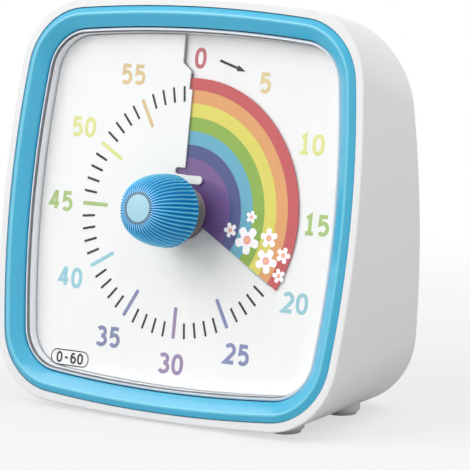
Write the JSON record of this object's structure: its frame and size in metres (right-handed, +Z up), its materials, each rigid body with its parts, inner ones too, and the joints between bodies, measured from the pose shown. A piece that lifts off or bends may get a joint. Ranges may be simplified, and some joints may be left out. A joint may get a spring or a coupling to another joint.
{
  "type": "visual countdown timer",
  "caption": "Square desk countdown timer with rounded corners, a coloured bezel over a clear lens, a ribbed central knob and a printed film disc that winds out of the dial.",
  "frame": {"origin": "on the table, under the middle of the whole timer", "axes": "+Z up, +X to the right seen from the front, the dial faces -Y"},
  "size_m": [0.1398, 0.076, 0.1358],
  "materials": {
    "white_abs": "satin white moulded ABS",
    "blue_abs": "glossy sky-blue moulded ABS",
    "pale_blue_abs": "glossy pale-blue moulded ABS",
    "clear_styrene": "clear moulded styrene",
    "dial_print": "white printed card",
    "film_print": "printed plastic film",
    "grey_pom": "dark grey acetal",
    "natural_pom": "natural white acetal",
    "black_abs": "black moulded ABS",
    "steel": "turned and plated steel",
    "spring_steel": "nickelled spring steel",
    "brass": "phosphor bronze strip",
    "rubber": "soft grey rubber",
    "board": "green glass-fibre board",
    "cell_wrap": "plain wrapped alkaline cell"
  },
  "bodies": {
    "case": {"case_shell": "white_abs", "rubber_feet": "rubber", "front_bezel": "blue_abs", "lens": "clear_styrene", "dial_card": "dial_print", "dial_frame": "white_abs", "frame_screws": "steel", "case_screws": "steel", "shaft_collar": "grey_pom", "idler_arbor": "steel", "motor": "steel", "movement_case": "black_abs", "movement_cover": "black_abs", "movement_screws": "steel", "zero_contact_leaf": "brass", "zero_contact_block": "black_abs", "battery_cell": "cell_wrap", "battery_plus_contact": "spring_steel", "battery_minus_contact": "spring_steel", "buzzer": "black_abs", "control_board": "board", "board_screws": "steel", "switch_body": "black_abs"},
    "spindle": {"shaft": "steel", "knob": "blue_abs", "knob_cap": "pale_blue_abs", "zero_cam": "natural_pom", "centre_wheel": "natural_pom", "clutch_spring": "spring_steel", "clutch_clip": "spring_steel"},
    "disc": {"time_disc": "film_print", "disc_hub": "grey_pom"},
    "idler": {"idler_gear": "natural_pom"},
    "motor_output": {"motor_pinion": "natural_pom"},
    "door": {"battery_door": "white_abs"},
    "slider": {"switch_slider": "black_abs"}
  },
  "joints": [
    {"name": "knob_turn", "type": "hinge", "parent": "case", "child": "spindle", "pos_m": [0, -0.01084, 0.06655], "axis": [0, 0.9857, -0.1685], "range_deg": [-120, 240]},
    {"name": "disc_feed", "type": "slide", "parent": "spindle", "child": "disc", "axis": [0, -0.9857, 0.1685], "range_m": [-0.00051, 0.00101]},
    {"name": "idler_turn", "type": "hinge", "parent": "case", "child": "idler", "pos_m": [0.01475, -0.01038, 0.06924], "axis": [0, 0.9857, -0.1685], "range_deg": [-961, 481]},
    {"name": "motor_turn", "type": "hinge", "parent": "case", "child": "motor_output", "pos_m": [0.01748, -0.0079, 0.08378], "axis": [0, 0.9857, -0.1685], "range_deg": [-2401, 4801]},
    {"name": "door_tilt", "type": "hinge", "parent": "case", "child": "door", "pos_m": [0, 0.03738, 0.02232], "axis": [-1, 0, 0], "range_deg": [0, 75]},
    {"name": "switch_slide", "type": "slide", "parent": "case", "child": "slider", "axis": [-1, 0, 0], "range_m": [0, 0.004]}
  ],
  "couplings": [
    {"joint": "disc_feed", "follows": "knob_turn", "m_per_rad": 0.00023873},
    {"joint": "idler_turn", "follows": "knob_turn", "ratio": -4},
    {"joint": "motor_turn", "follows": "knob_turn", "ratio": 20}
  ]
}
